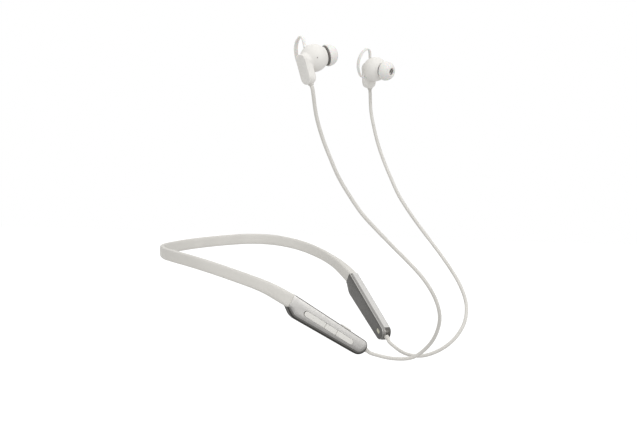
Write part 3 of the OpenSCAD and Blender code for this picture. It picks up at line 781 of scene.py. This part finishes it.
def make_right_module():
    place = MODULES["right"]
    shell = make_shell("right")
    round_end = KEY_HEIGHT / 2 + KEY_GAP
    slot_outline = key_outline(STRIP_START - SLOT_START, STRIP_END, KEY_GAP, round_end, round_end)
    cut(shell, make_pocket(slot_outline, *SLOT_DEPTHS))
    button_hole = (BUTTON_SPAN[0] - BUTTON_GAP, BUTTON_SPAN[1] + BUTTON_GAP)
    half_hole = BUTTON_HALF + BUTTON_GAP
    cut(shell, box_piece("pocket", button_hole, (-half_hole, half_hole), HOLE_HEIGHTS, HOLE_ROUND))
    cut(shell, round_bar("pocket", MICROPHONE_HOLE, MICROPHONE_RADIUS, MICROPHONE_DEPTH))
    put(shell, place, ROOT, "satin_shell", "right_outer_shell", smooth=25)
    put(make_cover("right"), place, ROOT, "inner_cover", "right_inner_shell", smooth=25)
    first_join, second_join = KEY_JOINS
    round_end, corner = KEY_HEIGHT / 2, KEY_CORNER
    make_key("volume_up_key", STRIP_START, first_join - KEY_NOTCH, round_end, corner, PLUS_BACK, True)
    make_key("multi_key", first_join + KEY_NOTCH, second_join - KEY_NOTCH, corner, corner)
    make_key("volume_down_key", second_join + KEY_NOTCH, STRIP_END, corner, round_end, MINUS_BACK)
    width = (-BUTTON_HALF, BUTTON_HALF)
    button = box_piece("side_button_cap", BUTTON_SPAN, width, BUTTON_HEIGHTS, BUTTON_ROUND, 4)
    coat(button, KEY_CREAM)
    put(button, place, "side_button", "keys", "side_button")


def round_bar(name, start, radius, length):
    """An upright bar from its lower end, used to cut holes."""
    deselect()
    middle = Vector(start) + Vector((0, 0, length / 2))
    bpy.ops.mesh.primitive_cylinder_add(vertices=32, radius=radius, depth=length, location=middle)
    piece = bpy.context.object
    piece.name = name
    bpy.ops.object.transform_apply(location=True, rotation=True, scale=True)
    return piece


# The status light: its middle, half its flat length, its round ends and the gap round it
LIGHT_X, LIGHT_Z, LIGHT_HALF, LIGHT_RADIUS, LIGHT_GAP = 55.5, 0.2, 0.9, 1.25, 0.05
# Sides and crown of the status light's lens: (depth, distance in)
LENS_LEVELS = [(2.2, 0), (3.5, 0), (3.62, 0.12), (3.7, 0.4), (3.74, 0.8)]
LIGHT_HOLE_DEPTHS = (2.2, 5)
# The charging socket's mouth: half its flat length, its round ends, its middle and its heights
SOCKET_HALF, SOCKET_RADIUS, SOCKET_MIDDLE = 2.93, 1.6, (44, -0.975)
SOCKET_HEIGHTS = (-8, -4)


def pill(half_length, radius, middle, steps=12):
    """A straight-sided outline with round ends, about its middle."""
    points = []
    for side in (1, -1):
        for k in range(steps + 1):
            angle = math.pi * (k / steps - 0.5)
            x = side * (half_length + radius * math.cos(angle))
            points.append((middle[0] + x, middle[1] + side * radius * math.sin(angle)))
    return points


def make_left_module():
    place = MODULES["left"]
    shell = make_shell("left")
    mouth = pill(SOCKET_HALF, SOCKET_RADIUS, SOCKET_MIDDLE)
    socket_hole = skinned("pocket", [[Vector((x, y, z)) for x, y in mouth] for z in SOCKET_HEIGHTS])
    cut(shell, socket_hole)
    put(shell, place, ROOT, "satin_shell", "left_outer_shell", smooth=25)
    cover = make_cover("left")
    middle = (LIGHT_X, LIGHT_Z)
    light_hole = pill(LIGHT_HALF, LIGHT_RADIUS + LIGHT_GAP, middle)
    cut(cover, make_pocket(light_hole, *LIGHT_HOLE_DEPTHS))
    put(cover, place, ROOT, "inner_cover", "left_inner_shell", smooth=25)
    rings = [along_y(pill(LIGHT_HALF, LIGHT_RADIUS - d, middle), y) for y, d in LENS_LEVELS]
    lens = skinned("status_light_lens", rings)
    coat(lens, LIGHT_LENS)
    put(lens, place, ROOT, "light", "light_pipe")


make_right_module()
make_left_module()

# The ribbed sleeve round the cord where it leaves a module: (place along, radius)
RELIEF = [
    (59.6, 1.65), (62.0, 1.65), (62.2, 1.5), (62.5, 1.5), (62.7, 1.6), (63.1, 1.55),
    (63.3, 1.42), (63.6, 1.42), (63.8, 1.5), (64.2, 1.4), (64.4, 1.3), (64.5, 1.16),
]


def make_relief(side):
    relief = turned(side + "_cord_sleeve", RELIEF, 40)
    for vertex in relief.data.vertices:
        vertex.co.z += CORD_RISE
    coat(relief, CORD_SILICONE)
    put(relief, MODULES[side], ROOT, "cord", side + "_strain_relief")


make_relief("right")
make_relief("left")

# ---- Earbuds ----
# The ball is turned from its back to its front, as shares of half a turn
BALL_RADIUS, BALL_STEPS, BALL_BACK, BALL_FRONT = 8.4, 28, 0.985, 0.15
# The ball is cut off here, and a short cone carries the nozzle: (place along, radius)
BALL_END = 5.6
BALL_CONE = [(5.9, 5.95), (6.4, 5.9), (7.0, 5.7)]
# Middles of the stem's round ends, and its levels: (distance out, radius)
STEM_TOP, STEM_BOTTOM = -1.0, -10.9
STEM_LEVELS = [(4.7, 2.6), (5.4, 3.6), (6.0, 4.1), (7.0, 4.3), (9.85, 4.3)]
# The flare that blends the ball into the stem's head, in the same terms
FLARE_LEVELS = [(1.0, 7.8), (2.8, 7.2), (5.0, 6.1), (7.2, 5.0), (9.3, 4.35)]
FLARE_SIDES, FLARE_SLIDE = 48, 5
BLEND_VOXEL, BLEND_ROUNDS = 0.24, 14
# Outside of the nozzle and the mouth of its bore: (place along, radius)
NOZZLE = [
    (6.6, 3.2), (7.3, 2.5), (7.4, 2.28), (12.8, 2.28), (13.0, 2.1), (13.0, 1.62), (12.2, 1.58),
    (12.0, 1.5),
]
# The plate's back, and its levels out from there
PLATE_BACK = 9.9
PLATE_LEVELS = [
    (0, 4.3), (0.55, 4.3), (0.75, 4.2), (0.92, 3.95), (1.0, 3.6), (1.04, 2.6), (1.05, 1.2),
]
# The collar round the cord at the stem's foot, and where it starts
COLLAR = [(0, 1.75), (1.9, 1.75), (2.5, 1.6), (2.7, 1.3)]
COLLAR_TOP = -13.3
# The vent in the ball's side: its middle, its own profile, and how far it is sunk
VENT = (-1.61, -8.1, -1.51)
VENT_PROFILE, VENT_SUNK = [(0, 0.42), (0.22, 0.42), (0.3, 0.3)], 0.28


def stadium(distance, radius, steps=16):
    """The stem's outline at a distance out from the ball's centre."""
    points = []
    for k in range(steps + 1):
        angle = math.pi * k / steps
        points.append((radius * math.cos(angle), STEM_TOP + radius * math.sin(angle)))
    for k in range(steps + 1):
        angle = math.pi * (1 + k / steps)
        points.append((radius * math.cos(angle), STEM_BOTTOM + radius * math.sin(angle)))
    return [TO_STEM @ Vector((-distance, y, z)) for y, z in points]


def make_flare():
    """Round levels whose middles slide from the ball's centre to the stem's head."""
    angles = [2 * math.pi * k / FLARE_SIDES for k in range(FLARE_SIDES)]
    first = FLARE_LEVELS[0][0]
    rings = []
    for n, r in FLARE_LEVELS:
        centre = STEM_TOP * min(1, (n - first) / FLARE_SLIDE)
        rings.append([TO_STEM @ Vector((-n, r * math.cos(a), centre + r * math.sin(a))) for a in angles])
    return skinned("flare", rings)


def make_housing(side, place):
    """The ball, the cone that carries the nozzle, and the stem, grown into one moulded shell."""
    profile = []
    for k in range(BALL_STEPS + 1):
        angle = math.pi * (BALL_BACK - (BALL_BACK - BALL_FRONT) * k / BALL_STEPS)
        profile.append((BALL_RADIUS * math.cos(angle), BALL_RADIUS * math.sin(angle)))
    profile = [p for p in profile if p[0] < BALL_END] + BALL_CONE
    housing = turned(side + "_bud_shell", profile, 72)
    stem = skinned("stem", [stadium(n, r) for n, r in STEM_LEVELS])
    flare = make_flare()
    cut(housing, stem, "UNION")
    cut(housing, flare, "UNION")
    apply_modifier(housing, "REMESH", mode="VOXEL", voxel_size=BLEND_VOXEL, adaptivity=0.0)
    apply_modifier(housing, "SMOOTH", factor=0.5, iterations=BLEND_ROUNDS)
    coat(housing, BUD_SHELL)
    nodes = (side + "_front_housing", side + "_rear_housing")
    put(housing, place, ROOT, "bud_housing", *nodes, smooth=60)


def make_vent(side, place):
    vent = turned(side + "_vent", VENT_PROFILE, 24)
    spot = Vector(VENT)
    aim = spot.normalized().to_track_quat("X", "Z").to_matrix().to_4x4()
    coat(vent, DARK_SILICONE)
    sunk = Matrix.Translation(spot - VENT_SUNK * spot.normalized())
    put(vent, place @ sunk @ aim, ROOT, "dark_silicone")


def make_bud(side):
    place = BUDS[side]
    make_housing(side, place)

    nozzle = turned(side + "_nozzle", NOZZLE, 40)
    coat(nozzle, BUD_SHELL)
    put(nozzle, place, ROOT, "bud_housing")

    plate = skinned(side + "_bud_plate", [stadium(PLATE_BACK + n, r) for n, r in PLATE_LEVELS])
    coat(plate, SAND_PLATE, BUD_SHELL)
    paint(plate, 1, lambda ring, sector: ring in (0, 1, 2))
    put(plate, place, ROOT, "bud_plate", side + "_outer_plate")

    collar = turned(side + "_cord_collar", COLLAR, 40)
    down = Matrix.Rotation(math.pi / 2, 4, "Y")
    drop = TO_STEM.to_4x4() @ Matrix.Translation((-GROMMET_DEPTH, 0, COLLAR_TOP)) @ down
    coat(collar, CORD_SILICONE)
    put(collar, place @ drop, ROOT, "cord", side + "_grommet")

    make_vent(side, place)
    make_wing(side, place)
    make_tip(side, place)


# The wing's middle line, from the ball's top back and down to its rear
WING = [
    (-3.4, 0, 4), (-3.3, 0.8, 7.4), (-2.8, 1.3, 11), (-2.5, 2.2, 13.6), (-2.9, 4.1, 14.9),
    (-4.1, 7.2, 13.2), (-4.9, 10.1, 9.4), (-5, 11.7, 4.5), (-4.9, 11.2, 0), (-4.7, 9.6, -3.2),
    (-4.4, 7.2, -4.7), (-4.2, 4.8, -4.8), (-3.7, 3, -4.6),
]
WING_HALF_WIDTH, WING_HALF_THICKNESS = 1.2, 0.8
WING_OUTLINE = soft_rectangle(20, 0.7)
WING_UP = Vector((1, 0.2, 0))


def make_wing(side, place):
    # Narrow and thick where it leaves the ball, and wider and thinner round the bow
    path = smooth_curve([Vector(p) for p in WING], 8)
    rings = []
    for i, centre in enumerate(path):
        along = i / (len(path) - 1)
        width = WING_HALF_WIDTH * (0.85 + 0.3 * ease((along - 0.2) / 0.3))
        thick = WING_HALF_THICKNESS * (0.95 - 0.2 * ease((along - 0.1) / 0.3))
        section = [(thick * x, width * y) for x, y in WING_OUTLINE]
        rings.append(ring_at(centre, ahead_at(path, i), WING_UP, section))
    wing = skinned(side + "_wing", rings)
    coat(wing, TIP_SILICONE)
    put(wing, place, ROOT, "bud_silicone", side + "_ear_wing", smooth=60)


# Profiles of the tip's dome, its dark core and the nozzle's grille: (place along, radius)
TIP_OUTSIDE = [
    (8.25, 6.2), (8.35, 6.45), (8.7, 6.6), (9.5, 6.66), (10.4, 6.57), (11.3, 6.37), (12.2, 6.02),
    (13.05, 5.5), (13.8, 4.9), (14.35, 4.2), (14.72, 3.45), (14.9, 2.85), (14.9, 2.5), (14.7, 2.28),
    (14.2, 2.22), (13.7, 2.22),
]
TIP_INSIDE = [(13.7, 3.55), (12.0, 3.55), (12.1, 4.4), (11.4, 5.2), (10.0, 5.6), (8.6, 5.8), (8.3, 5.95)]
CORE = [
    (7.45, 2.36), (7.4, 2.7), (7.4, 5.6), (7.5, 5.85), (7.75, 6.0), (8.05, 6.0), (8.22, 5.9),
    (8.25, 5.6), (8.25, 3.7), (8.4, 3.54), (13.6, 3.54), (13.65, 3.3), (13.65, 2.36),
]
GRILLE = [(12.5, 1.6), (12.72, 1.6), (12.8, 1.2), (12.84, 0.5)]


def make_tip(side, place):
    body = side + "_tip"
    loop = TIP_OUTSIDE + TIP_INSIDE
    dome = turned(side + "_tip_dome", loop + [loop[0]], 72, capped=False, closed=True)
    coat(dome, TIP_SILICONE)
    put(dome, place, body, "bud_silicone", side + "_ear_tip", smooth=50)
    core = turned(side + "_tip_collar", CORE + [CORE[0]], 64, capped=False, closed=True)
    coat(core, DARK_SILICONE)
    put(core, place, body, "dark_silicone", side + "_tip_core", smooth=40)
    grille = turned(side + "_nozzle_grille", GRILLE, 32)
    coat(grille, DARK_SILICONE)
    put(grille, place, ROOT, "dark_silicone", side + "_nozzle_mesh")


make_bud("right")
make_bud("left")

# ---- Finishes of the CAD pieces that stay ----
INNER_FINISHES = {
    "steel": STEEL, "ribbon": RIBBON, "board": BOARD, "black_parts": MOULDED_BLACK,
    "battery_foil": FOIL, "light": LIGHT_LENS, "cord": CORD_SILICONE, "dark_silicone": DARK_SILICONE,
}
slot_of = {part["node"]: part["material_slot"] for part in frame["record"]["subparts"]}
for name, node in frame["nodes"].items():
    if slot_of[name] in INNER_FINISHES:
        node.data.materials.clear()
        node.data.materials.append(INNER_FINISHES[slot_of[name]])

# ---- Floor and light ----
FLOOR_DROP, FLOOR_SIZE = -0.12, 3.0
FLOOR_MIDDLE = (-0.03, -0.14, 0)
# Brightness of the floor as seen, as light from below, and in reflections near and far away
FLOOR_SEEN, FLOOR_SOFT, FLOOR_NEAR, FLOOR_FAR = 0.9, 0.6, 0.02, 1.0
SHINE_START, SHINE_END = 0.1, 1.0


def make_floor():
    deselect()
    bpy.ops.mesh.primitive_plane_add(size=FLOOR_SIZE, location=(0, 0, FLOOR_DROP))
    floor = bpy.context.object
    floor.name = "floor"
    material = bpy.data.materials.new("pale_floor")
    material.use_nodes = True
    tree = material.node_tree
    shader = tree.nodes["Principled BSDF"]
    shader.inputs["Base Color"].default_value = (0.2, 0.2, 0.2, 1)
    shader.inputs["Roughness"].default_value = 0.9
    shader.inputs["Emission Color"].default_value = (1, 1, 1, 1)
    # White as seen, soft from below on the piece, and dark near the piece in its reflections
    ray = add_node(tree, "ShaderNodeLightPath")
    place = add_node(tree, "ShaderNodeTexCoord").outputs["Object"]
    away = add_node(tree, "ShaderNodeVectorMath", [(0, place), (1, FLOOR_MIDDLE)], operation="DISTANCE")
    far = add_node(
        tree, "ShaderNodeMapRange",
        [
            ("Value", away.outputs["Value"]),
            ("From Min", SHINE_START), ("From Max", SHINE_END),
            ("To Min", FLOOR_NEAR), ("To Max", FLOOR_FAR),
        ],
    )
    seen = maths(tree, ray.outputs["Is Camera Ray"], FLOOR_SEEN, "MULTIPLY")
    soft = maths(tree, ray.outputs["Is Diffuse Ray"], FLOOR_SOFT, "MULTIPLY")
    shine = maths(tree, ray.outputs["Is Glossy Ray"], far.outputs[0], "MULTIPLY")
    glow = maths(tree, maths(tree, seen, soft), shine)
    tree.links.new(glow, shader.inputs["Emission Strength"])
    floor.data.materials.append(material)


# Heights on the world's sky, from 0 straight down to 1 straight up, and their brightness
SKY_LOW, SKY_HIGH = (0.42, 0.12), (0.72, 1.0)


def make_world():
    """A white studio that is darker below the horizon, and plain white as seen."""
    world = bpy.data.worlds.new("studio")
    bpy.context.scene.world = world
    world.use_nodes = True
    tree = world.node_tree
    ground = tree.nodes["Background"]
    ground.inputs["Strength"].default_value = 1.0
    facing = add_node(tree, "ShaderNodeTexCoord").outputs["Generated"]
    split = add_node(tree, "ShaderNodeSeparateXYZ", [("Vector", facing)])
    ramp = add_node(tree, "ShaderNodeValToRGB")
    height = add_node(
        tree, "ShaderNodeMapRange",
        [("Value", split.outputs["Z"]), ("From Min", -1.0), ("From Max", 1.0)],
    )
    tree.links.new(height.outputs[0], ramp.inputs[0])
    for stop, (level, grey) in zip(ramp.color_ramp.elements, (SKY_LOW, SKY_HIGH)):
        stop.position = level
        stop.color = (grey, grey, grey, 1)
    path = add_node(tree, "ShaderNodeLightPath")
    mix = add_node(
        tree, "ShaderNodeMix",
        [(0, path.outputs["Is Camera Ray"]), (6, ramp.outputs["Color"]), (7, (1, 1, 1, 1))],
        data_type="RGBA",
    )
    tree.links.new(mix.outputs[2], ground.inputs["Color"])


# Soft lights: (name, place, width in metres, power in watts)
LIGHTS = [
    ("key_above", (-0.3, -0.75, 0.95), 0.6, 2.4),
    ("panel_side", (-0.45, -1.25, 0.35), 0.9, 2.2),
    ("fill_front", (-1.1, 0.25, 0.45), 0.9, 2.0),
]
LIGHT_TARGET = Vector((-0.02, -0.1, 0.03))


def make_light(name, place, size, energy):
    bpy.ops.object.light_add(type="AREA", location=place)
    light = bpy.context.object
    light.name = name
    light.data.shape = "DISK"
    light.data.size = size
    light.data.energy = energy
    light.visible_camera = False
    aim = LIGHT_TARGET - Vector(place)
    light.rotation_euler = aim.to_track_quat("-Z", "Y").to_euler()


make_floor()
make_world()
for light in LIGHTS:
    make_light(*light)
bpy.context.scene.view_settings.view_transform = "Standard"
